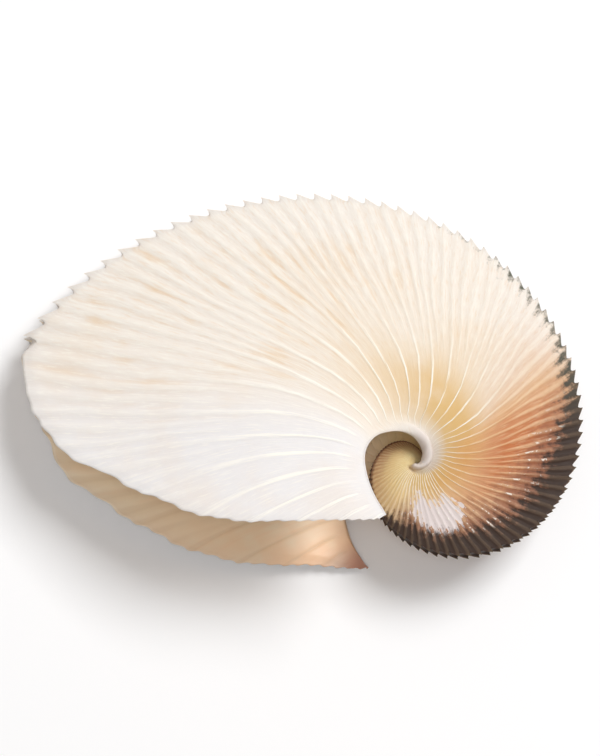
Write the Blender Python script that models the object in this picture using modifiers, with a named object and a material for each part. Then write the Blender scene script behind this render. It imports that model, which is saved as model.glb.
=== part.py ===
"""Paper nautilus shell: the thin coiled egg case of an argonaut, lying on its side.

One sheet of shell runs up one flank, over the narrow keel with its two rows of teeth and down
the other flank. It coils flat and widens fast, its mouth open between two ears beside the coil.
The sheet is laid out in the coil's own frame, where a growth angle runs from the first turn to
the lip and a reach runs from the coil's axis, 0, to the keel, 1. It is then laid on its side.
"""

import math

import bmesh
import bpy
import numpy as np
from mathutils import Matrix

# Radius of the keel's spiral, to the tips of its teeth, by growth angle. Sizes are in metres and
# angles in degrees. Past the top of the mouth it goes on as the scale of the two flanks.
KEEL = (
    (-385.0, 0.0020),
    (-292.0, 0.0047),
    (-242.0, 0.0084),
    (-180.0, 0.0131),
    (-117.0, 0.0214),
    (-61.5, 0.0326),
    (-4.7, 0.0480),
    (42.7, 0.0645),
    (84.6, 0.0819),
    (124.0, 0.1002),
    (164.0, 0.1244),
    (205.0, 0.1505),
    (255.0, 0.1840),
)
KEEL_HALF_WIDTH = 0.0017
KEEL_FULL_WIDTH_RADIUS = 0.040
KEEL_TAPER = 0.45

# Growth angles at which the sheet starts, reaches the top of the mouth and ends in the ear.
FIRST_ANGLE = -385.0
COIL_ANGLE = -122.0
MOUTH_ANGLE = 165.5
EAR_ANGLE = 241.0

# Half width beyond the keel's own, as a share of the keel's radius, by reach.
SECTION = (
    (0.00, 0.036),
    (0.03, 0.056),
    (0.08, 0.086),
    (0.14, 0.101),
    (0.20, 0.106),
    (0.30, 0.103),
    (0.45, 0.089),
    (0.70, 0.049),
    (0.86, 0.021),
    (1.00, 0.000),
)

# Radius of the free margin round the axis, by growth angle.
MARGIN = (
    (-385.0, 0.0003),
    (-60.0, 0.0004),
    (0.0, 0.0008),
    (38.7, 0.0014),
    (58.7, 0.0025),
    (82.2, 0.0039),
    (116.0, 0.0072),
    (147.0, 0.0116),
    (165.0, 0.0152),
    (184.0, 0.0180),
    (206.0, 0.0201),
    (235.0, 0.0243),
    (241.0, 0.0256),
)

# Reach at which the lip cuts the flank off, by growth angle.
LIP = (
    (165.5, 0.972),
    (171.6, 0.912),
    (177.5, 0.848),
    (181.7, 0.787),
    (184.9, 0.734),
    (188.7, 0.655),
    (194.5, 0.574),
    (202.7, 0.470),
    (211.7, 0.373),
    (221.0, 0.283),
    (231.2, 0.209),
    (241.0, 0.160),
)

# Degrees by which the far flank has grown on past the near one, by growth angle, and how much
# wider its free margin stands off at the ear.
FAR_FLANK_TURN = (
    (165.5, 0.0),
    (172.0, -1.2),
    (178.0, -1.2),
    (183.0, 0.5),
    (190.0, 1.2),
    (204.0, 1.3),
    (218.0, 3.0),
    (228.0, 3.8),
    (235.0, 6.3),
    (241.0, 9.5),
)
FAR_EAR_SPREAD = 1.08

# Degrees by which a rib lags behind its tooth, by reach.
RIB_LAG = (
    (0.00, -2.0),
    (0.13, -1.0),
    (0.155, 4.0),
    (0.20, 8.0),
    (0.26, 9.0),
    (0.33, 8.5),
    (0.42, 6.5),
    (0.55, 4.0),
    (0.70, 2.0),
    (0.88, 1.0),
    (1.00, 0.0),
)

# Teeth and ribs. One rib runs in from each tooth, and many fade before they reach the coil.
TOOTH_SPACING = 3.0
TOOTH_WIDENING = 1.2
TOOTH_WIDENING_RATE = 75.0
TOOTH_SPACING_MOST = 5.5
TOOTH_HEIGHT = 0.36
TOOTH_HEIGHT_LOSS = 0.10
TOOTH_LEAN = 0.30
LIP_KEEL_RADIUS = 0.1227
RIB_HEIGHT = 0.13
RIB_STARTS = (0.06, 0.20)
RIB_ENDS = (0.90, 1.02)
RIB_FADE = (0.30, 0.62)
EVERY_THIRD_FROM = 50.0
EVERY_SECOND_FROM = -50.0

# Rows of the sheet on one flank, as shares of the way from the margin to the keel or the lip.
# The second row stands on the crest of the bead.
FLANK_ROWS = (0.0, None, 0.25, 0.58, 1.0)
CLOSEST_ROW = 0.2
COIL_COLUMNS = 20
APEX_CLOSING = 40.0
APEX_REACH = 0.6

# Wall, as a share of the keel's half width.
WALL_SHARE = 0.35

# The rolled bead along the free margin, from its rounded tip beside the axis to where it sinks into
# the flank: its thickness, how far it stands proud, and its width by growth angle.
BEAD = 0.0022
BEAD_RISE = 0.0008
BEAD_TIP = (-165.0, -135.0)
BEAD_SINKS = (60.0, 150.0)
BEAD_SHARE_OF_DEPTH = 0.35
BEAD_WIDTH = (
    (-385.0, 0.0008),
    (-150.0, 0.0022),
    (-60.0, 0.0023),
    (0.0, 0.0038),
    (40.0, 0.0052),
    (241.0, 0.0052),
)

# Resting place: the shell lies on the belly of its far flank, so the coil leans about X, and the
# coil's centre stands here.
LEAN = -10.48
COIL_CENTRE = (0.0334, -0.0284, 0.0183)

SHELL_COLOUR = (0.83, 0.74, 0.62, 1.0)
SHELL_ROUGHNESS = 0.45
SMOOTH_ANGLE = 40.0
JOIN_DISTANCE = 1e-6
FAR_FROM_MARGIN = 1.0


def curve(points, at):
    """A smooth curve through the points, with no overshoot, read at each value."""
    x, y = np.array(points, float).T
    slopes = np.diff(y) / np.diff(x)
    tangents = np.concatenate([slopes[:1], np.zeros(len(x) - 2), slopes[-1:]])
    for i in range(1, len(x) - 1):
        if slopes[i - 1] * slopes[i] > 0.0:
            tangents[i] = 2.0 * slopes[i - 1] * slopes[i] / (slopes[i - 1] + slopes[i])
    at = np.clip(np.asarray(at, float), x[0], x[-1])
    i = np.clip(np.searchsorted(x, at, side="right") - 1, 0, len(x) - 2)
    width = x[i + 1] - x[i]
    t = (at - x[i]) / width
    start = (1.0 + 2.0 * t) * (1.0 - t) ** 2 * y[i] + t * (1.0 - t) ** 2 * width * tangents[i]
    end = t * t * (3.0 - 2.0 * t) * y[i + 1] - t * t * (1.0 - t) * width * tangents[i + 1]
    return start + end


def smooth_step(low, high, at):
    t = np.clip((np.asarray(at, float) - low) / (high - low), 0.0, 1.0)
    return t * t * (3.0 - 2.0 * t)


def keel_radius(angle):
    return np.exp(curve([(at, math.log(radius)) for at, radius in KEEL], angle))


def keel_half_width(angle):
    share = np.minimum(keel_radius(angle) / KEEL_FULL_WIDTH_RADIUS, 1.0)
    return KEEL_HALF_WIDTH * share**KEEL_TAPER


def tooth_spacing(angle):
    wide = TOOTH_SPACING + TOOTH_WIDENING * math.exp(-angle / TOOTH_WIDENING_RATE)
    return min(wide, TOOTH_SPACING_MOST)


def tooth_height(angle):
    spacing = math.radians(tooth_spacing(angle)) * keel_radius(angle)
    return spacing * (TOOTH_HEIGHT - TOOTH_HEIGHT_LOSS * keel_radius(angle) / LIP_KEEL_RADIUS)


def rib_weight(number, angle, reach):
    """How much of a rib is left at this reach: all of it, or one that fades near the coil."""
    every = 3 if angle > EVERY_THIRD_FROM else 2 if angle > EVERY_SECOND_FROM else 1
    if number % every == 0:
        return 1.0
    return float(smooth_step(*RIB_FADE, reach))


def rib_height(number, angle, reach):
    spacing = math.radians(tooth_spacing(angle)) * min(keel_radius(angle), LIP_KEEL_RADIUS)
    rise = smooth_step(*RIB_STARTS, reach) * (1.0 - smooth_step(*RIB_ENDS, reach))
    return RIB_HEIGHT * spacing * float(rise) * rib_weight(number, angle, reach)


def bead_share(angle):
    """How far the margin is rolled up: from nothing before the tip, through 1, to nothing again."""
    return float(smooth_step(*BEAD_TIP, angle) * (1.0 - smooth_step(*BEAD_SINKS, angle)))


def wall_at(angle, from_margin, depth):
    """Thickness of the sheet, with the bead along its free margin."""
    wall = WALL_SHARE * float(keel_half_width(angle))
    bead = min(BEAD - wall, BEAD_SHARE_OF_DEPTH * depth) * bead_share(angle)
    out = 2.0 * from_margin / float(curve(BEAD_WIDTH, angle))
    return wall + max(bead, 0.0) * math.exp(-(out**2))


def sheet_point(angle, reach, side, rise=0.0):
    """A point of the sheet in the coil's frame, on the near side at +1 or the far side at -1."""
    turn = math.radians(angle - float(curve(RIB_LAG, reach)))
    radius = float(keel_radius(angle))
    across = float(keel_half_width(angle)) + radius * float(curve(SECTION, reach)) + rise
    return np.array([reach * radius * math.cos(turn), reach * radius * math.sin(turn), side * across])


def columns():
    """Each column's growth angle, tooth number and kind: 'coil', 'crest' or 'trough'."""
    teeth = [MOUTH_ANGLE]
    while teeth[0] - tooth_spacing(teeth[0]) > COIL_ANGLE:
        teeth.insert(0, teeth[0] - tooth_spacing(teeth[0]))
    mouth = len(teeth) - 1
    while teeth[-1] + tooth_spacing(teeth[-1]) < EAR_ANGLE:
        teeth.append(teeth[-1] + tooth_spacing(teeth[-1]))
    coil = np.linspace(FIRST_ANGLE, teeth[0], COIL_COLUMNS, endpoint=False)
    found = [(float(angle), 0, "coil") for angle in coil]
    for number, angle in enumerate(teeth):
        found.append((angle, number, "crest"))
        following = teeth[number + 1] if number + 1 < len(teeth) else EAR_ANGLE
        found.append((0.5 * (angle + following), number, "trough"))
    last_of_keel = COIL_COLUMNS + 2 * mouth
    return found[: last_of_keel + 1], found[last_of_keel:] + [(EAR_ANGLE, 0, "trough")]


def flank_point(column, share, side):
    """A point of one flank, and its distance from the free margin.

    Share 0 is the margin, None the crest of the bead and 1 the keel's edge or the lip.
    """
    angle, number, kind = column
    radius = float(keel_radius(angle))
    inner = float(curve(MARGIN, angle)) / radius
    outer = float(curve(LIP, angle)) if angle >= MOUTH_ANGLE else 1.0
    if share is None:
        share = min(0.5 * float(curve(BEAD_WIDTH, angle)) / ((outer - inner) * radius), CLOSEST_ROW)
        rise = BEAD_RISE * bead_share(angle)
    else:
        rise = rib_height(number, angle, inner + (outer - inner) * share) if kind == "crest" else 0.0
    reach = inner + (outer - inner) * share
    if share == 1.0 and kind != "crest" and angle < MOUTH_ANGLE:
        reach -= tooth_height(angle) / radius
        if kind == "trough":
            angle -= TOOTH_LEAN * tooth_spacing(angle)
    from_margin = (reach - inner) * radius
    if side < 0.0 and angle > MOUTH_ANGLE:
        past = (angle - MOUTH_ANGLE) / (EAR_ANGLE - MOUTH_ANGLE)
        angle += float(curve(FAR_FLANK_TURN, angle))
        reach *= 1.0 + (FAR_EAR_SPREAD - 1.0) * past * (1.0 - share)
    return sheet_point(angle, reach, side, rise), from_margin


def keel_middle(column):
    """The keel's floor between its two rows of teeth."""
    angle = column[0]
    reach = 1.0 - tooth_height(angle) / float(keel_radius(angle))
    turn = math.radians(angle)
    floor = reach * float(keel_radius(angle))
    return np.array([floor * math.cos(turn), floor * math.sin(turn), 0.0])


def close_apex(point, angle):
    """Draws the first columns together, so that the first turn starts as a small round cap."""
    share = min((angle - FIRST_ANGLE) / APEX_CLOSING, 1.0)
    middle = sheet_point(FIRST_ANGLE, APEX_REACH, 1.0) * (1.0, 1.0, 0.0)
    return middle + (point - middle) * math.sqrt(share)


def add_grid(mesh, thickness, across, down, place):
    """Adds a grid whose points the given function places, and keeps each point's wall."""
    made = bmesh.ops.create_grid(mesh, x_segments=across - 1, y_segments=down - 1, size=1.0)
    for vertex in made["verts"]:
        column = round((vertex.co.x + 1.0) / 2.0 * (across - 1))
        row = round((vertex.co.y + 1.0) / 2.0 * (down - 1))
        point, wall = place(column, row)
        vertex.co = point
        vertex[thickness][0] = wall / BEAD


def build_sheet(mesh, thickness):
    """The whole outer surface: the keeled coil, then the two flanks beyond the end of the keel."""
    keeled, beyond = columns()
    rows = len(FLANK_ROWS)

    def place_keeled(index, row):
        column = keeled[index]
        if row == rows:
            point, from_margin = keel_middle(column), FAR_FROM_MARGIN
        else:
            side = 1.0 if row < rows else -1.0
            share = FLANK_ROWS[row] if row < rows else FLANK_ROWS[2 * rows - row]
            point, from_margin = flank_point(column, share, side)
        return close_apex(point, column[0]), wall_at(column[0], from_margin, abs(point[2]))

    def place_flank(side):
        def place(index, row):
            point, from_margin = flank_point(beyond[index], FLANK_ROWS[row], side)
            return point, wall_at(beyond[index][0], from_margin, abs(point[2]))

        return place

    add_grid(mesh, thickness, len(keeled), 2 * rows + 1, place_keeled)
    add_grid(mesh, thickness, len(beyond), rows, place_flank(1.0))
    add_grid(mesh, thickness, len(beyond), rows, place_flank(-1.0))
    bmesh.ops.remove_doubles(mesh, verts=mesh.verts, dist=JOIN_DISTANCE)
    bmesh.ops.recalc_face_normals(mesh, faces=mesh.faces)
    near = max(mesh.faces, key=lambda face: face.calc_center_median().z)
    if near.normal.z < 0.0:
        bmesh.ops.reverse_faces(mesh, faces=mesh.faces)


def resting_place():
    """From the coil's frame to the shell lying on its side."""
    return Matrix.Translation(COIL_CENTRE) @ Matrix.Rotation(math.radians(LEAN), 4, "X")


def shell_material():
    material = bpy.data.materials.new("shell")
    material.use_nodes = True
    shader = material.node_tree.nodes["Principled BSDF"]
    shader.inputs["Base Color"].default_value = SHELL_COLOUR
    shader.inputs["Roughness"].default_value = SHELL_ROUGHNESS
    shader.inputs["Metallic"].default_value = 0.0
    return material


def build_shell(collection):
    sheet = bmesh.new()
    thickness = sheet.verts.layers.deform.verify()
    build_sheet(sheet, thickness)
    sheet.transform(resting_place())
    mesh = bpy.data.meshes.new("shell")
    sheet.to_mesh(mesh)
    sheet.free()
    mesh.shade_smooth()
    mesh.set_sharp_from_angle(angle=math.radians(SMOOTH_ANGLE))
    shell = bpy.data.objects.new("shell", mesh)
    shell.vertex_groups.new(name="wall")
    shell.data.materials.append(shell_material())
    collection.objects.link(shell)
    wall = shell.modifiers.new("wall", "SOLIDIFY")
    wall.thickness = BEAD
    wall.offset = -1.0
    wall.vertex_group = "wall"
    return shell


def main():
    for old in list(bpy.data.objects):
        bpy.data.objects.remove(old)
    collection = bpy.data.collections.new("paper nautilus shell")
    bpy.context.scene.collection.children.link(collection)
    build_shell(collection)


main()
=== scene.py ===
import logging
import math
from dataclasses import dataclass, field
from enum import Enum

import bmesh
import bpy
import numpy as np
from mathutils import Matrix, Vector


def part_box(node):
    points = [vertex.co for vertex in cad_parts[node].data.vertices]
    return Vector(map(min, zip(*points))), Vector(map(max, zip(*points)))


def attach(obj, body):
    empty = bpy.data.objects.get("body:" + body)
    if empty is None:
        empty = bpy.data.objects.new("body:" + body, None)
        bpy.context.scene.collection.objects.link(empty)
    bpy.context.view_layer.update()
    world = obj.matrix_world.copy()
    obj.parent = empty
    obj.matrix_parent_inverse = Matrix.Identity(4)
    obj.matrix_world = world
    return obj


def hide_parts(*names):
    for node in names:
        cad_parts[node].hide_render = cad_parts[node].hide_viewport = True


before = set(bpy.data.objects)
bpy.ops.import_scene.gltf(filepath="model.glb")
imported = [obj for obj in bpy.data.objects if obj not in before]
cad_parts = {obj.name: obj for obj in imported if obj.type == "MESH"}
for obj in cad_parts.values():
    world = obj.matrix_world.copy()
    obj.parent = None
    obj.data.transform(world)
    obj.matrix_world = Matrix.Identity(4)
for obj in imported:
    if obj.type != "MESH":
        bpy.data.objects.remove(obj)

log = logging.getLogger("paper nautilus shell")

PHOTO_HEIGHT_PX = 756.0
MM_PER_METRE = 1000.0

Span = tuple[float, float]


class Flank(Enum):
    """The two sides of the coil: the near one faces up, the far one down."""

    NEAR = 1.0
    FAR = -1.0


@dataclass(frozen=True)
class Profile:
    """A smooth curve through points, with no overshoot."""

    points: tuple[tuple[float, float], ...]

    def at(self, values: np.ndarray | float) -> np.ndarray:
        """Read the curve at each value.

        Args:
            values: Where to read it. Values past either end read that end.

        Returns:
            The curve's height at each value.
        """
        x, y = np.array(self.points, float).T
        slopes = np.diff(y) / np.diff(x)
        tangents = np.concatenate([slopes[:1], np.zeros(len(x) - 2), slopes[-1:]])
        for i in range(1, len(x) - 1):
            if slopes[i - 1] * slopes[i] > 0.0:
                tangents[i] = 2.0 * slopes[i - 1] * slopes[i] / (slopes[i - 1] + slopes[i])
        at = np.clip(np.asarray(values, float), x[0], x[-1])
        i = np.clip(np.searchsorted(x, at, side="right") - 1, 0, len(x) - 2)
        width = x[i + 1] - x[i]
        t = (at - x[i]) / width
        start = (1.0 + 2.0 * t) * (1.0 - t) ** 2 * y[i] + t * (1.0 - t) ** 2 * width * tangents[i]
        end = t * t * (3.0 - 2.0 * t) * y[i + 1] - t * t * (1.0 - t) * width * tangents[i + 1]
        return start + end


def smooth_step(low: float, high: float, at: np.ndarray | float) -> np.ndarray:
    """Rise smoothly from 0 at low to 1 at high."""
    t = np.clip((np.asarray(at, float) - low) / (high - low), 0.0, 1.0)
    return t * t * (3.0 - 2.0 * t)


def hump(share: np.ndarray) -> np.ndarray:
    """Fall smoothly from 1 at a share of 0 to 0 at one half, and stay there."""
    return 0.5 + 0.5 * np.cos(2.0 * np.pi * np.minimum(share, 0.5))


@dataclass(frozen=True)
class Coil:
    """The flat coil's own form. Lengths are in metres, angles in degrees of growth.

    A growth angle runs from the first turn to the lip, and a reach from the axis, 0, to the keel, 1.
    """

    first_angle: float = -385.0
    mouth_angle: float = 165.5
    ear_angle: float = 241.0
    keel: Profile = Profile((
        (-385.0, 0.0020), (-292.0, 0.0047), (-242.0, 0.0084), (-180.0, 0.0131), (-117.0, 0.0214),
        (-61.5, 0.0326), (-4.7, 0.0480), (42.7, 0.0645), (84.6, 0.0819), (124.0, 0.1002),
        (164.0, 0.1244), (205.0, 0.1505), (255.0, 0.1840),
    ))
    keel_half_width_full: float = 0.0017
    keel_full_width_radius: float = 0.040
    keel_taper: float = 0.45
    section: Profile = Profile((
        (0.00, 0.036), (0.03, 0.056), (0.08, 0.086), (0.14, 0.101), (0.20, 0.106),
        (0.30, 0.103), (0.45, 0.089), (0.70, 0.049), (0.86, 0.021), (1.00, 0.000),
    ))
    margin: Profile = Profile((
        (-385.0, 0.0003), (-60.0, 0.0004), (0.0, 0.0008), (38.7, 0.0014), (58.7, 0.0025),
        (82.2, 0.0039), (116.0, 0.0072), (147.0, 0.0116), (165.0, 0.0152), (184.0, 0.0180),
        (206.0, 0.0201), (235.0, 0.0243), (241.0, 0.0256),
    ))
    lip: Profile = Profile((
        (162.4, 1.000), (165.5, 0.972), (171.6, 0.912), (177.5, 0.848), (181.7, 0.787), (184.9, 0.734),
        (188.7, 0.655), (194.5, 0.574), (202.7, 0.470), (211.7, 0.373), (221.0, 0.283),
        (231.2, 0.209), (241.0, 0.160),
    ))
    far_flank_turn: Profile = Profile((
        (165.5, 0.0), (172.0, -1.2), (178.0, -1.2), (183.0, 0.5), (190.0, 1.2), (204.0, 1.3),
        (218.0, 3.0), (228.0, 3.8), (235.0, 6.3), (241.0, 9.5),
    ))
    far_ear_spread: float = 1.08
    far_margin: Profile = Profile(((60.0, 1.0), (95.0, 0.70), (180.0, 0.60), (205.0, 1.0)))
    rib_lag: Profile = Profile((
        (0.00, -2.0), (0.13, -1.0), (0.155, 4.0), (0.20, 8.0), (0.26, 9.0), (0.33, 8.5),
        (0.42, 6.5), (0.55, 4.0), (0.70, 2.0), (0.88, 1.0), (1.00, 0.0),
    ))
    apex_closing: float = 40.0
    apex_reach: float = 0.6
    lean: float = -10.48
    centre: tuple[float, float, float] = (0.0334, -0.0284, 0.0183)

    def keel_radius(self, angle: np.ndarray | float) -> np.ndarray:
        """Radius of the keel's spiral, to the tips of its teeth."""
        logs = Profile(tuple((at, math.log(radius)) for at, radius in self.keel.points))
        return np.exp(logs.at(angle))

    def keel_half_width(self, angle: np.ndarray | float) -> np.ndarray:
        """Half of the keel's width between its two rows of teeth."""
        share = np.minimum(self.keel_radius(angle) / self.keel_full_width_radius, 1.0)
        return self.keel_half_width_full * share**self.keel_taper

    def point(self, angle: np.ndarray, reach: np.ndarray, across: np.ndarray) -> np.ndarray:
        """Points of the coil in its own frame.

        Args:
            angle: Growth angle at the keel.
            reach: Reach, from the axis to the keel.
            across: Height over the coil's middle plane, in metres.

        Returns:
            The points, with x, y and z along the last axis.
        """
        turn = np.radians(angle - self.rib_lag.at(reach))
        radius = reach * self.keel_radius(angle)
        return np.stack([radius * np.cos(turn), radius * np.sin(turn), across], axis=-1)

    def close_apex(self, points: np.ndarray, angle: np.ndarray) -> np.ndarray:
        """Draw the first columns together into a small round cap."""
        share = np.sqrt(np.clip((angle - self.first_angle) / self.apex_closing, 0.0, 1.0))[..., None]
        start = self.point(np.array(self.first_angle), np.array(self.apex_reach), np.array(0.0))
        return start + (points - start) * share

    def resting_place(self) -> Matrix:
        """The move from the coil's own frame to the shell lying on its side."""
        return Matrix.Translation(self.centre) @ Matrix.Rotation(math.radians(self.lean), 4, "X")


@dataclass(frozen=True)
class Teeth:
    """The saw teeth along both edges of the keel, hooked towards the lip."""

    spacing_least: float = 3.0
    widening: float = 1.2
    widening_rate: float = 75.0
    spacing_most: float = 5.5
    height_share: float = 0.42
    height_gain: float = 0.08
    lip_radius: float = 0.1227
    small_from: float = -300.0
    small_height: Profile = Profile(((-300.0, 0.0), (-240.0, 0.5), (-150.0, 0.75), (-110.0, 1.0)))
    outline: tuple[tuple[float, float], ...] = (
        (0.00, 0.00), (0.05, 0.42), (0.11, 0.78), (0.22, 1.00), (0.40, 0.86), (0.60, 0.59), (0.80, 0.29),
    )
    base_depth: float = 1.3
    far_stagger: float = 0.32
    stagger_from: Span = (25.0, 65.0)
    stagger_ends: float = 14.0
    base_most: float = 0.3

    def spacing(self, angle: np.ndarray | float) -> np.ndarray:
        """Degrees from one tooth to the next."""
        wide = self.spacing_least + self.widening * np.exp(-np.asarray(angle, float) / self.widening_rate)
        return np.minimum(wide, self.spacing_most)

    def height(self, coil: Coil, angle: np.ndarray) -> np.ndarray:
        """How far a tooth stands over the keel's floor."""
        radius = coil.keel_radius(angle)
        spacing = np.radians(self.spacing(angle)) * radius
        height = spacing * (self.height_share + self.height_gain * radius / self.lip_radius)
        return height * self.small_height.at(angle)

    def stagger(self, coil: Coil, angle: np.ndarray) -> np.ndarray:
        """Degrees by which the far row stands behind the near one, only on the last half turn."""
        begun = smooth_step(*self.stagger_from, angle)
        ended = smooth_step(coil.mouth_angle - self.stagger_ends, coil.mouth_angle, angle)
        return self.far_stagger * self.spacing(angle) * begun * (1.0 - ended)

    def tips(self, coil: Coil) -> list[float]:
        """Growth angles of the tips, from the first turn to the ear."""
        found = [coil.mouth_angle]
        while found[0] - float(self.spacing(found[0])) > self.small_from:
            found.insert(0, found[0] - float(self.spacing(found[0])))
        while found[-1] + float(self.spacing(found[-1])) < coil.ear_angle:
            found.append(found[-1] + float(self.spacing(found[-1])))
        return found


@dataclass(frozen=True)
class Ribs:
    """The ribs that run in from the teeth, some of which fade before they reach the coil."""

    height_share: float = 0.085
    lower_inward: Profile = Profile(((0.0, 0.35), (0.25, 0.45), (0.5, 0.7), (0.8, 1.0)))
    uneven: float = 0.45
    patches: tuple[Span, ...] = ((0.61, 9.0), (0.37, -17.0))
    calmer: float = 0.4
    calm_from: Span = (70.0, 120.0)
    calm_reach: float = 0.62
    calm_spread: float = 0.25
    starts: Span = (0.05, 0.13)
    ends: Span = (0.90, 1.02)
    fade: Span = (0.30, 0.62)
    every_third_from: float = 50.0
    every_second_from: float = -50.0
    crest_sharpness: Profile = Profile(((0.15, 2.6), (0.45, 2.2), (0.75, 1.2), (1.0, 1.0)))
    softer_by_lip: Span = (90.0, 165.0)
    clear_of_bead: float = 0.4
    wobble: float = 0.6
    waves: tuple[tuple[float, float, float, float], ...] = (
        (1.0, 0.21, 5.1, 0.0), (0.5, 0.47, -13.0, 1.3), (0.25, 0.83, 31.0, 0.0),
    )
    sways_from: Span = (0.12, 0.3)
    sways_until: Span = (0.75, 0.98)

    def weight(self, number: np.ndarray, angle: np.ndarray, reach: np.ndarray) -> np.ndarray:
        """How much of a rib is left: all of it, or one that fades near the coil."""
        every = np.where(angle > self.every_third_from, 3, np.where(angle > self.every_second_from, 2, 1))
        return np.where(number % every == 0, 1.0, smooth_step(*self.fade, reach))

    def crest(
        self, number: np.ndarray, phase: np.ndarray, angle: np.ndarray, reach: np.ndarray
    ) -> np.ndarray:
        """How near a point is to the top of a rib: 1 on it, 0 in the furrow.

        Args:
            number: The tooth that the column follows.
            phase: How far the column is from that tooth to the next, from 0 to 1.
            angle: Growth angle.
            reach: Reach.

        Returns:
            The rib's height as a share of its full height.
        """
        sharp = self.crest_sharpness.at(reach)
        sharp = sharp + (1.0 - sharp) * smooth_step(*self.softer_by_lip, angle)
        behind = hump(phase) ** sharp * self.weight(number, angle, reach)
        ahead = hump(1.0 - phase) ** sharp * self.weight(number + 1, angle, reach)
        return np.maximum(behind, ahead)

    def height(self, coil: Coil, teeth: Teeth, angle: np.ndarray, reach: np.ndarray) -> np.ndarray:
        """Full height of a rib."""
        spacing = np.radians(teeth.spacing(angle)) * np.minimum(coil.keel_radius(angle), teeth.lip_radius)
        rise = smooth_step(*self.starts, reach) * (1.0 - smooth_step(*self.ends, reach))
        calm = self.calmer * smooth_step(*self.calm_from, angle)
        calm = 1.0 - calm * np.exp(-(((reach - self.calm_reach) / self.calm_spread) ** 2))
        patchy = self.uneven
        for by_angle, by_reach in self.patches:
            patchy = patchy * np.sin(by_angle * angle + by_reach * reach)
        return self.height_share * spacing * rise * self.lower_inward.at(reach) * (1.0 + patchy) * calm

    def sway(self, angle: np.ndarray, reach: np.ndarray) -> np.ndarray:
        """Degrees by which the ribs wander from their even course."""
        slow = sum(
            size * np.sin(by_angle * angle + by_reach * reach + shift)
            for size, by_angle, by_reach, shift in self.waves
        )
        swaying = self.wobble * slow * smooth_step(*self.sways_from, reach)
        return swaying * (1.0 - smooth_step(*self.sways_until, reach))


@dataclass(frozen=True)
class Bead:
    """The free margin rolled into a rounded bead, from its tip beside the axis outward."""

    rise: float = 0.0014
    groove: float = 0.0008
    groove_at: float = 1.2
    groove_spread: float = 0.25
    groove_ends: Span = (30.0, 90.0)
    tip: Span = (-165.0, -135.0)
    sinks: Span = (60.0, 150.0)
    colour_ends: Span = (0.75, 1.25)
    roll_radius: float = 0.0010
    roll_share: float = 0.4
    roll_most: float = 0.45
    least_radius: float = 0.00018
    width: Profile = Profile((
        (-385.0, 0.0008), (-150.0, 0.0021), (-60.0, 0.0026), (0.0, 0.0033), (40.0, 0.0038),
        (100.0, 0.0040), (241.0, 0.0048),
    ))
    most_share: float = 0.35
    roll_turns: tuple[float, ...] = (150.0, 110.0, 70.0, 35.0)

    def share(self, angle: np.ndarray) -> np.ndarray:
        """How far the margin is rolled up, from 0 to 1."""
        return smooth_step(*self.tip, angle) * (1.0 - smooth_step(*self.sinks, angle))


@dataclass(frozen=True)
class Markings:
    """Where each colour lies on the flanks, by growth angle and reach."""

    dark_from: Profile = Profile((
        (-385.0, 1.03), (-150.0, 1.01), (-128.0, 0.96), (-114.0, 0.86), (-98.0, 0.77), (-80.0, 0.79),
        (-62.0, 0.75), (-40.0, 0.77), (-15.0, 0.78), (2.0, 0.79), (12.0, 0.83), (22.0, 0.88),
        (32.0, 0.925), (45.0, 0.965), (62.0, 0.985), (85.0, 1.04), (110.0, 1.15), (241.0, 1.20),
    ))
    even_radius: float = 0.045
    worn_low: Profile = Profile((
        (-95.0, 0.52), (-88.0, 0.42), (-80.0, 0.36), (-74.0, 0.45), (-66.0, 0.46), (-57.0, 0.40),
        (-50.0, 0.34), (-44.0, 0.45), (-40.0, 0.60),
    ))
    worn_high: Profile = Profile((
        (-95.0, 0.66), (-85.0, 0.74), (-70.0, 0.78), (-55.0, 0.70), (-44.0, 0.52),
    ))
    worn_ends: Span = (-94.0, -44.0)
    warm_along: Profile = Profile((
        (-110.0, 0.0), (-95.0, 0.25), (-60.0, 0.45), (-30.0, 0.65), (0.0, 0.95), (12.0, 1.0),
        (26.0, 0.85), (36.0, 0.45), (50.0, 0.15), (70.0, 0.0),
    ))
    warm_across: Profile = Profile((
        (0.12, 0.0), (0.22, 0.35), (0.35, 0.6), (0.50, 1.0), (0.75, 1.0), (0.9, 0.8), (1.0, 0.6),
    ))
    gold_along: Profile = Profile((
        (-385.0, 1.0), (-120.0, 1.0), (0.0, 0.95), (75.0, 0.9), (110.0, 0.65), (150.0, 0.15), (172.0, 0.0),
    ))
    gold_across: Profile = Profile((
        (0.10, 0.0), (0.16, 0.9), (0.25, 1.0), (0.32, 0.75), (0.42, 0.35), (0.62, 0.12), (0.9, 0.0),
    ))
    tan_along: Profile = Profile((
        (-385.0, 1.0), (-130.0, 1.0), (-108.0, 0.7), (-95.0, 0.35), (-75.0, 0.15), (-50.0, 0.0),
    ))
    # Browner towards the inner coil's keel: partly its own brown, partly painted shade under the overhanging
    # margin.
    brown_and_shade_along: Profile = Profile((
        (-385.0, 1.0), (-190.0, 1.0), (-150.0, 0.75), (-120.0, 0.5), (-100.0, 0.0),
    ))
    brown_and_shade_across: Profile = Profile(((0.3, 0.0), (0.55, 0.25), (0.75, 0.75), (0.95, 1.0)))
    blush_along: Profile = Profile((
        (60.0, 0.0), (95.0, 0.35), (125.0, 0.7), (148.0, 1.0), (160.0, 0.7), (172.0, 0.25), (185.0, 0.0),
    ))
    blush_across: Profile = Profile(((0.25, 0.0), (0.45, 0.7), (0.65, 1.0), (0.85, 0.8), (1.0, 0.7)))
    ear_along: Profile = Profile(((180.0, 0.0), (210.0, 0.45), (225.0, 0.8), (241.0, 1.0)))
    most_mm: float = 30.0


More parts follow.
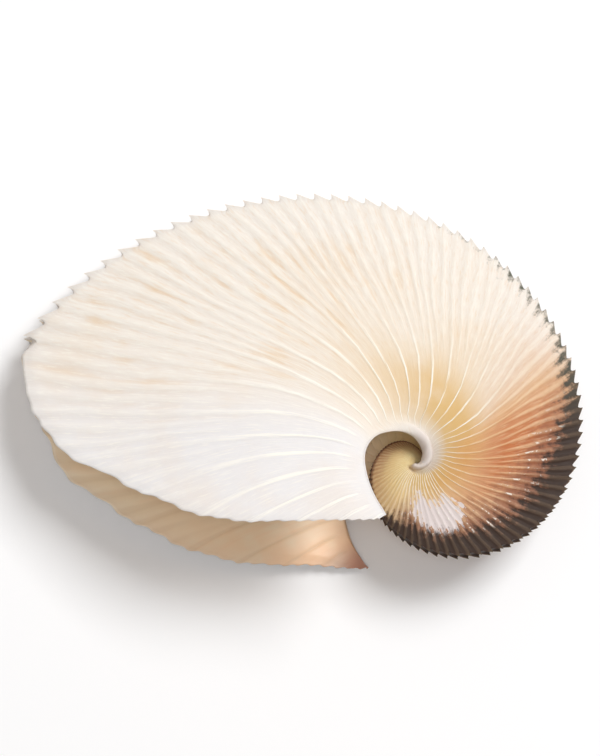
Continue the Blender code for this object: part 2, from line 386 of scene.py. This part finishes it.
@dataclass
class ShellSheet:
    """The whole shell, one thin sheet from one free margin over the keel to the other."""

    coil: Coil = field(default_factory=Coil)
    teeth: Teeth = field(default_factory=Teeth)
    ribs: Ribs = field(default_factory=Ribs)
    bead: Bead = field(default_factory=Bead)
    markings: Markings = field(default_factory=Markings)
    wall: float = 0.00055
    lip_wall_share: float = 0.55
    lip_thinning: float = 0.006
    lip_thins_before: float = 6.0
    small_wall: float = 0.0003
    small_wall_until: float = -120.0
    first_columns: int = 18
    bead_rows: int = 5
    flank_rows: int = 12
    flank_crowding: float = 1.4
    tooth_rows: tuple[float, ...] = (0.45, 0.8, 1.0)
    tooth_wall_share: float = 0.4
    floor_share: float = 0.5
    scallop: float = 0.00035
    scallop_from: Span = (168.0, 176.0)
    merge_distance: float = 1e-6
    sharp_degrees: float = 55.0

    def columns(self) -> tuple[np.ndarray, np.ndarray, np.ndarray]:
        """Each column's growth angle, the tooth that it follows and its place between two teeth."""
        tips = self.teeth.tips(self.coil)
        steps = len(self.teeth.outline)
        angles = list(np.linspace(self.coil.first_angle, tips[0], self.first_columns, endpoint=False))
        numbers = [0] * len(angles)
        phases = [0.0] * len(angles)
        mouth = tips.index(self.coil.mouth_angle)
        for number, tip in enumerate(tips):
            following = tips[number + 1] if number + 1 < len(tips) else self.coil.ear_angle
            for step in range(steps):
                angles.append(tip + (following - tip) * step / steps)
                numbers.append(number - mouth)
                phases.append(step / steps)
        angles.append(self.coil.ear_angle)
        numbers.append(len(tips) - mouth)
        phases.append(0.0)
        return np.array(angles), np.array(numbers), np.array(phases)

    def margin_rows(
        self, rolled: np.ndarray, width: np.ndarray, length: np.ndarray
    ) -> tuple[np.ndarray, np.ndarray]:
        """Space the rows from the underside of the bead to the foot of the teeth.

        Args:
            rolled: How far the margin is rolled up at each column.
            width: Width of the bead at each column.
            length: Way from the free margin to the foot of the teeth at each column.

        Returns:
            Each row's distance from the free margin, and its drop below the bead, in metres.
        """
        roll = np.minimum(self.bead.roll_radius * rolled, self.bead.roll_share * width)
        roll = np.minimum(roll + self.bead.least_radius, self.bead.roll_most * width)
        turns = np.radians(self.bead.roll_turns)
        along = [roll * (1.0 - np.sin(turn)) for turn in turns] + [roll]
        drop = [roll * (1.0 - np.cos(turn)) for turn in turns]
        for row in range(1, self.bead_rows + 1):
            along.append(roll + (width - roll) * row / self.bead_rows)
        for row in range(1, self.flank_rows + 1):
            share = (row / self.flank_rows) ** self.flank_crowding
            along.append(width + (length - width) * share)
        drop += [np.zeros_like(roll)] * (len(along) - len(drop))
        return np.concatenate(along, axis=1), np.concatenate(drop, axis=1)

    def wall_share(
        self, angle: np.ndarray, reach: np.ndarray, edge: np.ndarray, radius: np.ndarray
    ) -> np.ndarray:
        """Work out the wall's thickness.

        Args:
            angle: Growth angle of each point.
            reach: Reach of each point.
            edge: Reach of the teeth or the lip at each column.
            radius: Keel's radius at each column.

        Returns:
            The thickness at each point, as a share of the full wall.
        """
        near_lip = angle > self.coil.mouth_angle - self.lip_thins_before
        to_lip = np.where(near_lip, (edge - reach) * radius, self.lip_thinning)
        kept = (1.0 - self.lip_wall_share) * smooth_step(0.0, self.lip_thinning, to_lip)
        wall = np.where(angle < self.small_wall_until, self.small_wall, self.wall)
        wall = wall * (self.lip_wall_share + kept)
        wall[:, -len(self.tooth_rows):] *= self.tooth_wall_share
        return wall / self.wall

    def flank(
        self, angle: np.ndarray, number: np.ndarray, phase: np.ndarray, side: Flank
    ) -> tuple[np.ndarray, dict[str, np.ndarray]]:
        """Lay out one flank, from the underside of the bead to the teeth or the lip.

        Args:
            angle: Growth angle of each column.
            number: Tooth that each column follows.
            phase: Place of each column between two teeth.
            side: Near or far flank.

        Returns:
            The points by column and row, and the values that go with them by name.
        """
        coil, teeth, bead = self.coil, self.teeth, self.bead
        angle, number, phase = angle[:, None], number[:, None], phase[:, None]
        radius = coil.keel_radius(angle)
        inner = coil.margin.at(angle) / radius
        if side is Flank.FAR:
            inner = inner * coil.far_margin.at(angle)
        keeled = angle < coil.mouth_angle
        step = np.round(phase * len(teeth.outline)).astype(int) % len(teeth.outline)
        ahead, depth = np.array(teeth.outline)[step].transpose(2, 0, 1)
        height = teeth.height(coil, angle)
        outer = coil.lip.at(angle)
        base = outer - np.minimum(teeth.base_depth * height / radius, teeth.base_most * (outer - inner))
        edge = outer - np.where(keeled, depth * height, 0.0) / radius
        wave = self.scallop * np.cos(2.0 * np.pi * phase) * smooth_step(*self.scallop_from, angle)
        edge = edge + np.where(keeled, 0.0, wave) / radius

        rolled = bead.share(angle)
        width = np.minimum(bead.width.at(angle), bead.most_share * (base - inner) * radius)
        along, drop = self.margin_rows(rolled, width, (base - inner) * radius)
        reach = inner + along / radius
        lead = (ahead - phase) * keeled * teeth.spacing(angle)
        ripple = np.concatenate([np.zeros_like(reach)] + [lead * w for w in self.tooth_rows], axis=1)
        drop = np.concatenate([drop] + [np.zeros_like(edge)] * len(self.tooth_rows), axis=1)
        reach = np.concatenate([reach] + [base + (edge - base) * w for w in self.tooth_rows], axis=1)
        from_margin = (reach - inner) * radius
        beads_out = from_margin / width

        wide = np.broadcast_to(angle, reach.shape)
        crest = self.ribs.crest(number, phase, wide, reach)
        crest = crest * smooth_step(0.0, 1.0, beads_out - self.ribs.clear_of_bead)
        ridge = np.clip(beads_out, 0.0, 1.0)
        rise = bead.rise * rolled * np.sqrt(np.clip(4.0 * ridge * (1.0 - ridge), 0.0, 1.0)) - drop
        furrow = rolled * np.exp(-(((beads_out - bead.groove_at) / bead.groove_spread) ** 2))
        rise = rise - bead.groove * furrow
        rise = rise + crest * self.ribs.height(coil, teeth, wide, reach)

        turned = wide + ripple + self.ribs.sway(wide, reach)
        stretched = reach
        if side is Flank.FAR:
            past = np.clip((wide - coil.mouth_angle) / (coil.ear_angle - coil.mouth_angle), 0.0, 1.0)
            share = np.clip((reach - inner) / (edge - inner), 0.0, 1.0)
            turned = turned + np.where(wide > coil.mouth_angle, coil.far_flank_turn.at(wide), 0.0)
            turned = turned - teeth.stagger(coil, wide)
            stretched = reach * (1.0 + (coil.far_ear_spread - 1.0) * past * (1.0 - share))
        across = coil.keel_radius(turned) * coil.section.at(stretched)
        across = coil.keel_half_width(turned) + across
        points = coil.point(turned, stretched, side.value * (across + rise))

        values = self.marks(wide, reach, radius, beads_out)
        values["crest"] = crest
        # The groove's share, also used for the painted shade in the groove.
        values["furrow"] = furrow * (1.0 - smooth_step(*bead.groove_ends, wide))
        values["wall"] = self.wall_share(wide, reach, edge, radius)
        return points, values

    def marks(
        self, angle: np.ndarray, reach: np.ndarray, radius: np.ndarray, beads_out: np.ndarray
    ) -> dict[str, np.ndarray]:
        """Work out where each marking lies.

        Args:
            angle: Growth angle of each point.
            reach: Reach of each point.
            radius: Keel's radius at each column.
            beads_out: Distance from the free margin, in widths of the bead.

        Returns:
            A value for each point by marking. The dark keel's and the worn patch's are distances
            from their borders in millimetres, above 0 inside. The others are shares.
        """
        marks = self.markings
        dark = (reach - marks.dark_from.at(angle)) * np.maximum(radius, marks.even_radius) * MM_PER_METRE
        worn = np.minimum(reach - marks.worn_low.at(angle), marks.worn_high.at(angle) - reach) * radius
        ends = np.minimum(angle - marks.worn_ends[0], marks.worn_ends[1] - angle)
        worn = np.minimum(worn, np.radians(ends) * reach * radius) * MM_PER_METRE
        bead = (1.0 - smooth_step(*self.bead.colour_ends, beads_out)) * self.bead.share(angle)
        return {
            "growth": angle,
            "reach": reach,
            "dark": np.clip(dark, -marks.most_mm, marks.most_mm),
            "worn": np.clip(worn, -marks.most_mm, marks.most_mm),
            "warm": marks.warm_along.at(angle) * marks.warm_across.at(reach),
            "gold": marks.gold_along.at(angle) * marks.gold_across.at(reach),
            "tan": marks.tan_along.at(angle) * np.ones_like(reach),
            "brown": marks.brown_and_shade_along.at(angle) * marks.brown_and_shade_across.at(reach),
            "blush": marks.blush_along.at(angle) * marks.blush_across.at(reach),
            "ear": marks.ear_along.at(angle) * np.ones_like(reach),
            "bead": bead,
        }

    def keel_floor(
        self, angle: np.ndarray, like: dict[str, np.ndarray]
    ) -> tuple[np.ndarray, dict[str, np.ndarray]]:
        """Lay out the keel's floor between its two rows of teeth.

        Args:
            angle: Growth angle of each column.
            like: Values of the near flank, whose last row the floor takes on.

        Returns:
            The points by column and row, and the values that go with them by name.
        """
        angle = angle[:, None]
        radius = self.coil.keel_radius(angle)
        reach = 1.0 - self.teeth.height(self.coil, angle) / radius
        shares = np.array([[self.floor_share, 0.0, -self.floor_share]])
        across = shares * self.coil.keel_half_width(angle)
        points = self.coil.point(angle + 0.0 * shares, reach + 0.0 * shares, across)
        values = {name: np.repeat(value[:, -1:], shares.size, axis=1) for name, value in like.items()}
        values["crest"] = values["crest"] * 0.0
        return points, values

    def add_grid(self, mesh: bmesh.types.BMesh, points: np.ndarray, values: dict[str, np.ndarray]) -> None:
        """Add a grid, move its vertices to the points, and write the values on them.

        Args:
            mesh: Mesh to add to.
            points: Places by column and row.
            values: Numbers by name, each by column and row.
        """
        across, down = points.shape[:2]
        names = [name for name in values if name != "wall"]
        for name in names:
            if name not in mesh.verts.layers.float:
                mesh.verts.layers.float.new(name)
        layers = [mesh.verts.layers.float[name] for name in names]
        walls = mesh.verts.layers.deform.verify()
        made = bmesh.ops.create_grid(mesh, x_segments=across - 1, y_segments=down - 1, size=1.0)
        for vertex in made["verts"]:
            column = round((vertex.co.x + 1.0) / 2.0 * (across - 1))
            row = round((vertex.co.y + 1.0) / 2.0 * (down - 1))
            vertex.co = points[column, row]
            vertex[walls][0] = float(values["wall"][column, row])
            for name, layer in zip(names, layers):
                vertex[layer] = float(values[name][column, row])
        log.info("grid of %d by %d, %d vertices made", across, down, len(made["verts"]))

    def build(self, outer: bpy.types.Material, inner: bpy.types.Material) -> bpy.types.Object:
        """Build the sheet and give it its wall.

        Args:
            outer: Finish of the outside.
            inner: Finish of the inside.

        Returns:
            The finished piece.
        """
        angle, number, phase = self.columns()
        mouth = int(np.argmin(np.abs(angle - self.coil.mouth_angle)))
        keeled, beyond = slice(0, mouth + 1), slice(mouth, len(angle))
        near, near_values = self.flank(angle[keeled], number[keeled], phase[keeled], Flank.NEAR)
        far, far_values = self.flank(angle[keeled], number[keeled], phase[keeled], Flank.FAR)
        floor, floor_values = self.keel_floor(angle[keeled], near_values)
        whole = np.concatenate([near, floor, far[:, ::-1]], axis=1)
        whole = self.coil.close_apex(whole, np.repeat(angle[keeled][:, None], whole.shape[1], axis=1))
        values = {
            name: np.concatenate([near_values[name], floor_values[name], far_values[name][:, ::-1]], axis=1)
            for name in near_values
        }
        sheet = bmesh.new()
        sheet.verts.layers.deform.verify()
        self.add_grid(sheet, whole, values)
        for side in Flank:
            self.add_grid(sheet, *self.flank(angle[beyond], number[beyond], phase[beyond], side))
        bmesh.ops.remove_doubles(sheet, verts=sheet.verts, dist=self.merge_distance)
        bmesh.ops.recalc_face_normals(sheet, faces=sheet.faces)
        highest = max(sheet.faces, key=lambda face: face.calc_center_median().z)
        if highest.normal.z < 0.0:
            bmesh.ops.reverse_faces(sheet, faces=sheet.faces)
        sheet.transform(self.coil.resting_place())
        low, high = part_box("shell")
        lowest = min(vertex.co.z for vertex in sheet.verts)
        bmesh.ops.translate(sheet, verts=sheet.verts, vec=(0.0, 0.0, low[2] - lowest))
        for vertex in sheet.verts:
            vertex.co = [min(max(at, least), most) for at, least, most in zip(vertex.co, low, high)]
        mesh = bpy.data.meshes.new("shell_sheet")
        sheet.to_mesh(mesh)
        sheet.free()
        mesh.shade_smooth()
        mesh.set_sharp_from_angle(angle=math.radians(self.sharp_degrees))
        piece = bpy.data.objects.new("shell_sheet", mesh)
        piece.vertex_groups.new(name="wall")
        mesh.materials.append(outer)
        mesh.materials.append(inner)
        bpy.context.scene.collection.objects.link(piece)
        wall = piece.modifiers.new("wall", "SOLIDIFY")
        wall.thickness = self.wall
        wall.offset = -1.0
        wall.vertex_group = "wall"
        wall.material_offset = 1
        return piece


class Tone(Enum):
    """The colours of the shell and the floor as seen on a screen, from 0 to 255."""

    CREAM = (238, 227, 216)
    WHITE = (232, 228, 227)
    BLUSH = (228, 196, 160)
    PALE_CREST = (252, 246, 234)
    STRAW = (248, 230, 180)
    GOLD = (214, 173, 102)
    OLIVE = (212, 190, 126)
    TAN = (230, 198, 142)
    AMBER = (226, 182, 116)
    ORANGE = (190, 114, 66)
    RUST = (134, 84, 62)
    BROWN_AND_SHADE = (150, 108, 76)
    KEEL_LINE = (96, 62, 42)
    DARK = (56, 38, 28)
    DARK_CREST_HIGHLIGHT = (108, 88, 68)
    GREY_GREEN = (92, 92, 78)
    WORN = (224, 210, 206)
    LILAC = (232, 219, 212)
    # Painted shade for the groove beside the rolled bead.
    FURROW_SHADE = (160, 134, 116)
    INNER_TAN = (248, 230, 202)
    INNER_GOLD_AND_LIGHT = (255, 230, 178)
    INNER_WAVE_SHADE = (204, 172, 138)
    INNER_BROWN = (158, 100, 82)
    PEACH = (246, 196, 154)
    FLOOR = (250, 249, 249)

    def linear(self) -> tuple[float, float, float, float]:
        """Turn the colour into the linear values that a shader takes."""
        shares = [value / 255.0 for value in self.value]
        red, green, blue = [v / 12.92 if v <= 0.04045 else ((v + 0.055) / 1.055) ** 2.4 for v in shares]
        return red, green, blue, 1.0


@dataclass(frozen=True)
class Grain:
    """Soft random shades, even by a scale, or drawn out by one scale across the ribs and one along."""

    name: str
    scale: float = 1.0
    detail: float = 3.0
    rough: float = 0.6
    by_ribs: Span | None = None


@dataclass(frozen=True)
class Specks:
    """A few small scattered dots: their spacing, the edge of each, and which of them are kept."""

    scale: float = 45.0
    edge: Span = (0.022, 0.012)
    kept: Span = (0.45, 0.5)


@dataclass(frozen=True)
class Relief:
    """Fine relief that follows a grain, with its depth in metres."""

    grain: str
    depth: float
    strength: float


@dataclass(frozen=True)
class Ragged:
    """What a grain or a value adds to the ragged borders, in millimetres for each unit over its middle."""

    source: str
    middle: float
    millimetres: float


@dataclass(frozen=True)
class Fade:
    """A factor that goes smoothly from its least, where the source is at start, to 1, where it is at end."""

    source: str
    start: float
    end: float
    least: float = 0.0


@dataclass(frozen=True)
class Layer:
    """A colour or a whole paint, laid on by a share times its fades and, if named, a marking as it is."""

    colour: "Tone | Paint"
    fades: tuple[Fade, ...] = ()
    share: float = 1.0
    marking: str = ""


@dataclass(frozen=True)
class Paint:
    """A ground colour and the layers over it, the lowest first."""

    ground: Tone
    layers: tuple[Layer, ...]


@dataclass
class NodeBench:
    """A material's node tree, with one short method for each kind of node used here."""

    tree: bpy.types.NodeTree
    sources: dict[str, bpy.types.NodeSocket] = field(default_factory=dict)

    def put(self, socket: bpy.types.NodeSocket, value: object) -> None:
        """Link a socket to an input, or set a plain value on it."""
        if isinstance(value, bpy.types.NodeSocket):
            self.tree.links.new(value, socket)
        else:
            socket.default_value = value

    def read(self, name: str) -> bpy.types.NodeSocket:
        """Find a value made in this tree, or read one of the piece's own."""
        if name in self.sources:
            return self.sources[name]
        node = self.tree.nodes.new("ShaderNodeAttribute")
        node.attribute_name = name
        return node.outputs["Fac"]

    def math(self, operation: str, first: object, second: object) -> bpy.types.NodeSocket:
        """Work out one sum."""
        node = self.tree.nodes.new("ShaderNodeMath")
        node.operation = operation
        self.put(node.inputs[0], first)
        self.put(node.inputs[1], second)
        return node.outputs[0]

    def step(self, value: object, start: float, end: float) -> bpy.types.NodeSocket:
        """Go smoothly from 0 at start to 1 at end."""
        node = self.tree.nodes.new("ShaderNodeMapRange")
        node.interpolation_type = "SMOOTHSTEP"
        self.put(node.inputs["Value"], value)
        node.inputs["From Min"].default_value = start
        node.inputs["From Max"].default_value = end
        return node.outputs["Result"]

    def fade(self, fade: Fade) -> bpy.types.NodeSocket:
        """Work out one fade."""
        rising = self.step(self.read(fade.source), fade.start, fade.end)
        if fade.least == 0.0:
            return rising
        return self.math("ADD", self.math("MULTIPLY", rising, 1.0 - fade.least), fade.least)

    def mix(self, share: object, below: object, above: object) -> bpy.types.NodeSocket:
        """Lay one colour over another."""
        node = self.tree.nodes.new("ShaderNodeMix")
        node.data_type = "RGBA"
        self.put(node.inputs["Factor"], share)
        self.put(node.inputs["A"], below)
        self.put(node.inputs["B"], above)
        return node.outputs["Result"]

    def paint(self, colour: Tone | Paint) -> object:
        """Work out a colour.

        Args:
            colour: A plain tone, or a paint, whose layers are laid over its ground in turn.

        Returns:
            A socket, or a plain value for a plain tone.
        """
        if isinstance(colour, Tone):
            return colour.linear()
        base = colour.ground.linear()
        for layer in colour.layers:
            factors = [self.read(layer.marking)] if layer.marking else []
            factors += [self.fade(fade) for fade in layer.fades]
            if layer.share < 1.0:
                factors.append(layer.share)
            share = factors[0]
            for factor in factors[1:]:
                share = self.math("MULTIPLY", share, factor)
            base = self.mix(share, base, self.paint(layer.colour))
        return base

    def place(self) -> bpy.types.NodeSocket:
        """The piece's own coordinates."""
        return self.tree.nodes.new("ShaderNodeTexCoord").outputs["Object"]

    def along_ribs(self, across: float, along: float) -> bpy.types.NodeSocket:
        """Coordinates that follow the ribs, for streaks that run with them."""
        node = self.tree.nodes.new("ShaderNodeCombineXYZ")
        self.put(node.inputs["X"], self.math("MULTIPLY", self.read("growth"), across))
        self.put(node.inputs["Y"], self.math("MULTIPLY", self.read("reach"), along))
        return node.outputs["Vector"]

    def grain(self, grain: Grain) -> bpy.types.NodeSocket:
        """Make soft random shades from 0 to 1."""
        node = self.tree.nodes.new("ShaderNodeTexNoise")
        self.put(node.inputs["Vector"], self.along_ribs(*grain.by_ribs) if grain.by_ribs else self.place())
        node.inputs["Scale"].default_value = grain.scale
        node.inputs["Detail"].default_value = grain.detail
        node.inputs["Roughness"].default_value = grain.rough
        return node.outputs["Fac"]

    def specks(self, specks: Specks) -> bpy.types.NodeSocket:
        """Scatter small dots, 1 inside each."""
        node = self.tree.nodes.new("ShaderNodeTexVoronoi")
        self.put(node.inputs["Vector"], self.place())
        node.inputs["Scale"].default_value = specks.scale
        apart = self.tree.nodes.new("ShaderNodeSeparateColor")
        self.put(apart.inputs["Color"], node.outputs["Color"])
        dot = self.step(node.outputs["Distance"], *specks.edge)
        return self.math("MULTIPLY", dot, self.step(apart.outputs["Red"], *specks.kept))

    def relief(self, relief: Relief, below: bpy.types.NodeSocket | None) -> bpy.types.NodeSocket:
        """Turn a grain into fine relief, over that below it."""
        node = self.tree.nodes.new("ShaderNodeBump")
        node.inputs["Distance"].default_value = relief.depth
        node.inputs["Strength"].default_value = relief.strength
        self.put(node.inputs["Height"], self.read(relief.grain))
        if below is not None:
            self.put(node.inputs["Normal"], below)
        return node.outputs["Normal"]

    def ragged_borders(self, parts: tuple[Ragged, ...], worn_share: float) -> None:
        """Make the ragged borders of the dark keel and of the worn patch.

        Args:
            parts: What makes the borders ragged.
            worn_share: How ragged the worn patch is, as a share of the dark keel.
        """
        pushed = []
        for part in parts:
            over = self.math("SUBTRACT", self.read(part.source), part.middle)
            pushed.append(self.math("MULTIPLY", over, part.millimetres))
        ragged = pushed[0]
        for push in pushed[1:]:
            ragged = self.math("ADD", ragged, push)
        self.sources["dark_border"] = self.math("ADD", self.read("dark"), ragged)
        less = self.math("MULTIPLY", ragged, worn_share)
        self.sources["worn_border"] = self.math("ADD", self.read("worn"), less)


@dataclass(frozen=True)
class Finish:
    """What one face of the shell looks like."""

    name: str
    paint: Paint
    grains: tuple[Grain, ...]
    reliefs: tuple[Relief, ...]
    roughness: float
    rough_grain: str = ""
    rough_range: float = 0.2
    gloss: float = 0.5
    glow_through: float = 0.0
    glow_radius: tuple[float, float, float] = (1.0, 0.95, 0.9)
    glow_depth: float = 0.0014
    ragged: tuple[Ragged, ...] = ()
    worn_share: float = 0.7
    specks: Specks | None = None

    def material(self) -> bpy.types.Material:
        """Make the material."""
        material = bpy.data.materials.new(self.name)
        material.use_nodes = True
        bench = NodeBench(material.node_tree)
        for grain in self.grains:
            bench.sources[grain.name] = bench.grain(grain)
        if self.ragged:
            bench.ragged_borders(self.ragged, self.worn_share)
        if self.specks:
            bench.sources["specks"] = bench.specks(self.specks)
        normal = None
        for relief in self.reliefs:
            normal = bench.relief(relief, normal)
        rough = self.roughness
        if self.rough_grain:
            varied = bench.math("MULTIPLY", bench.read(self.rough_grain), self.rough_range)
            rough = bench.math("ADD", varied, self.roughness - 0.5 * self.rough_range)
        looks = {
            "Base Color": bench.paint(self.paint),
            "Normal": normal,
            "Roughness": rough,
            "Specular IOR Level": self.gloss,
            "Subsurface Weight": self.glow_through,
            "Subsurface Radius": self.glow_radius,
            "Subsurface Scale": self.glow_depth,
        }
        inputs = material.node_tree.nodes["Principled BSDF"].inputs
        for socket, value in looks.items():
            bench.put(inputs[socket], value)
        return material


PALE_RIB = Paint(Tone.PALE_CREST, (Layer(Tone.STRAW, (Fade("growth", -110.0, -150.0),)),))
DARK_KEEL = Paint(Tone.DARK, (
    Layer(Tone.GREY_GREEN, (Fade("growth", 10.0, 50.0),)),
    # Painted highlight: lighter olive-brown on the rib crests in the dark band.
    Layer(Tone.DARK_CREST_HIGHLIGHT, (Fade("crest", 0.4, 0.95),), 0.4),
))

# Cream to white, with gold, orange and rust towards the coil, and a dark, worn keel.
OUTSIDE = Finish(
    name="shell_outside",
    paint=Paint(Tone.CREAM, (
        Layer(Tone.WHITE, (Fade("growth", 158.0, 186.0),)),
        Layer(Tone.BLUSH, (Fade("cloud", 0.45, 0.7),), 0.18),
        Layer(
            Tone.BLUSH,
            (Fade("streak", 0.46, 0.66), Fade("crest", 0.75, 0.1), Fade("cloud", 0.36, 0.56)),
            0.85,
            "blush",
        ),
        Layer(Tone.PALE_CREST, (Fade("thread", 0.5, 0.68),), 0.4),
        Layer(Tone.BLUSH, (Fade("thread", 0.48, 0.34), Fade("growth", 176.0, 150.0)), 0.32),
        Layer(Tone.GOLD, (Fade("cloud", 0.1, 0.5),), marking="gold"),
        Layer(Tone.OLIVE, (Fade("growth", -35.0, -75.0), Fade("fine_streak", 0.35, 0.65)), 0.8),
        Layer(Tone.TAN, marking="tan"),
        # Partly the inner coil's own brown, partly painted shade under the overhanging margin.
        Layer(Tone.BROWN_AND_SHADE, marking="brown"),
        Layer(Tone.AMBER, (Fade("warm", 0.1, 0.5),), 0.6),
        Layer(
            Tone.ORANGE,
            (Fade("fine_streak", 0.2, 0.55, least=0.5), Fade("crest", 1.0, 0.2, least=0.5)),
            marking="warm",
        ),
        Layer(PALE_RIB, (
            Fade("crest", 0.25, 0.8),
            Fade("fine_streak", 0.32, 0.6),
            Fade("warm", 0.75, 0.0),
            Fade("reach", 0.56, 0.26, least=0.2),
        )),
        Layer(Tone.KEEL_LINE, (Fade("reach", 0.90, 0.97), Fade("growth", -95.0, -130.0)), 0.85),
        Layer(
            Tone.RUST,
            (Fade("dark_border", -15.0, -1.0), Fade("growth", 45.0, 5.0), Fade("growth", -125.0, -95.0)),
            0.85,
        ),
        Layer(Tone.WORN, (Fade("worn_border", -0.3, 0.4),)),
        Layer(DARK_KEEL, (Fade("dark_border", -3.6, 2.6),)),
        Layer(
            Tone.PALE_CREST,
            (
                Fade("crest", 0.7, 0.95),
                Fade("grit", 0.54, 0.62),
                Fade("dark", 2.0, -1.0),
                Fade("dark", -14.0, -8.0),
                Fade("growth", -115.0, -95.0),
                Fade("growth", 35.0, 5.0),
            ),
            0.8,
        ),
        Layer(Tone.LILAC, (Fade("bead", 0.25, 0.95),), 0.85),
        # Painted shade: a darker brown-lilac laid in the groove beside the rolled bead.
        Layer(Tone.FURROW_SHADE, share=0.55, marking="furrow"),
        Layer(Tone.RUST, share=0.7, marking="specks"),
    )),
    grains=(
        Grain("cloud", 38.0, 4.0, 0.55),
        Grain("grit", 420.0, 3.0, 0.65),
        Grain("streak", by_ribs=(0.33, 5.0)),
        Grain("fine_streak", by_ribs=(1.1, 9.0)),
        Grain("thread", detail=4.0, rough=0.65, by_ribs=(2.1, 20.0)),
    ),
    reliefs=(Relief("fine_streak", 0.0004, 0.35), Relief("grit", 0.00012, 0.5)),
    roughness=0.5,
    rough_grain="grit",
    gloss=0.2,
    glow_through=0.4,
    ragged=(Ragged("fine_streak", 0.5, 9.0), Ragged("grit", 0.5, 14.0), Ragged("crest", 0.4, -3.5)),
    specks=Specks(),
)

# Tan by the lip, gold further in, peach and red-brown towards the ear. The gold is partly the inside's own
# colour, partly painted light: it is made lighter to stand in for light coming through the thin wall.
INSIDE = Finish(
    name="shell_inside",
    paint=Paint(Tone.INNER_TAN, (
        # Partly the inside's own gold, partly painted light for light that comes through the thin wall.
        Layer(Tone.INNER_GOLD_AND_LIGHT, (Fade("growth", 150.0, 90.0),)),
        Layer(Tone.PEACH, (Fade("cloud", 0.25, 0.6),), marking="ear"),
        Layer(Tone.PEACH, (Fade("streak", 0.5, 0.7),), 0.2),
        # Painted shade: darker stripes along the ribs, for the soft waves of the inside.
        Layer(Tone.INNER_WAVE_SHADE, (Fade("crest", 0.25, 0.85),), 0.18),
        Layer(Tone.INNER_BROWN, (Fade("growth", 224.0, 239.0),), 0.85),
    )),
    grains=(Grain("cloud", 55.0, 3.0, 0.55), Grain("streak", by_ribs=(0.4, 5.0))),
    reliefs=(Relief("streak", 0.0003, 0.3),),
    roughness=0.38,
    glow_through=0.08,
)


@dataclass(frozen=True)
class Studio:
    """The pale floor, the soft light from the upper right, and the camera."""

    floor_size: float = 6.0
    floor_drop: float = 0.00005
    floor_roughness: float = 0.9
    right: tuple[float, float, float] = (0.9883, -0.0276, 0.1502)
    up: tuple[float, float, float] = (-0.0276, 0.9349, 0.3537)
    back: tuple[float, float, float] = (-0.1502, -0.3537, 0.9232)
    place: tuple[float, float, float] = (-0.1411, -0.2247, 0.6566)
    distance_px: float = 2356.2
    sensor: float = 36.0
    light_distance: float = 2.0
    key_toward: tuple[float, float, float] = (0.42, 0.45, 0.85)
    key_size: float = 0.9
    key_watts: float = 31.0
    fill_toward: tuple[float, float, float] = (-0.15, -0.18, 0.97)
    fill_size: float = 0.6
    fill_watts: float = 7.0
    surround: float = 0.33
    surround_colour: tuple[float, float, float, float] = (1.0, 0.955, 0.92, 1.0)
    light_colour: tuple[float, float, float] = (0.98, 1.0, 1.015)

    def floor(self) -> bpy.types.Object:
        """Lay the floor."""
        sheet = bmesh.new()
        bmesh.ops.create_grid(sheet, x_segments=1, y_segments=1, size=0.5 * self.floor_size)
        bmesh.ops.translate(sheet, verts=sheet.verts, vec=(0.0, 0.0, -self.floor_drop))
        mesh = bpy.data.meshes.new("floor")
        sheet.to_mesh(mesh)
        sheet.free()
        material = bpy.data.materials.new("floor")
        material.use_nodes = True
        shader = material.node_tree.nodes["Principled BSDF"]
        shader.inputs["Base Color"].default_value = Tone.FLOOR.linear()
        shader.inputs["Roughness"].default_value = self.floor_roughness
        mesh.materials.append(material)
        floor = bpy.data.objects.new("floor", mesh)
        bpy.context.scene.collection.objects.link(floor)
        return floor

    def camera(self, coil: Coil) -> None:
        """Set the camera at the photograph's viewing angle.

        Args:
            coil: The coil, whose resting place also turns the camera.
        """
        data = bpy.data.cameras.new("camera")
        data.sensor_fit = "VERTICAL"
        data.sensor_height = self.sensor
        data.lens = self.sensor * self.distance_px / PHOTO_HEIGHT_PX
        camera = bpy.data.objects.new("camera", data)
        turn = Matrix((self.right, self.up, self.back)).transposed().to_4x4()
        camera.matrix_world = coil.resting_place() @ Matrix.Translation(self.place) @ turn
        bpy.context.scene.collection.objects.link(camera)
        bpy.context.scene.camera = camera

    def soft_light(self, name: str, toward: tuple[float, float, float], size: float, watts: float) -> None:
        """Hang a square soft light that faces the shell.

        Args:
            name: Name of the light.
            toward: Direction from the shell to the light.
            size: Length of its side, in metres.
            watts: Its power.
        """
        direction = Vector(toward).normalized()
        data = bpy.data.lights.new(name, "AREA")
        data.shape = "SQUARE"
        data.size = size
        data.energy = watts
        data.color = self.light_colour
        light = bpy.data.objects.new(name, data)
        light.location = direction * self.light_distance
        light.rotation_euler = (-direction).to_track_quat("-Z", "Y").to_euler()
        bpy.context.scene.collection.objects.link(light)

    def lights(self) -> None:
        """Set a large soft light at the upper right, a weaker one above and a pale surround."""
        self.soft_light("key", self.key_toward, self.key_size, self.key_watts)
        self.soft_light("fill", self.fill_toward, self.fill_size, self.fill_watts)
        world = bpy.data.worlds.new("surround")
        world.use_nodes = True
        background = world.node_tree.nodes["Background"]
        background.inputs["Color"].default_value = self.surround_colour
        background.inputs["Strength"].default_value = self.surround
        bpy.context.scene.world = world
        bpy.context.scene.view_settings.view_transform = "Standard"


def main() -> None:
    """Build the shell and its studio, and attach the shell to the root body."""
    logging.basicConfig(level=logging.INFO, format="%(name)s: %(message)s")
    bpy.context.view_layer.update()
    sheet = ShellSheet()
    piece = sheet.build(OUTSIDE.material(), INSIDE.material())
    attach(piece, "root")
    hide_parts("shell")
    log.info("%s: %d faces before its wall", piece.name, len(piece.data.polygons))

    studio = Studio()
    studio.floor()
    studio.camera(sheet.coil)
    studio.lights()


if __name__ == "__main__":
    main()
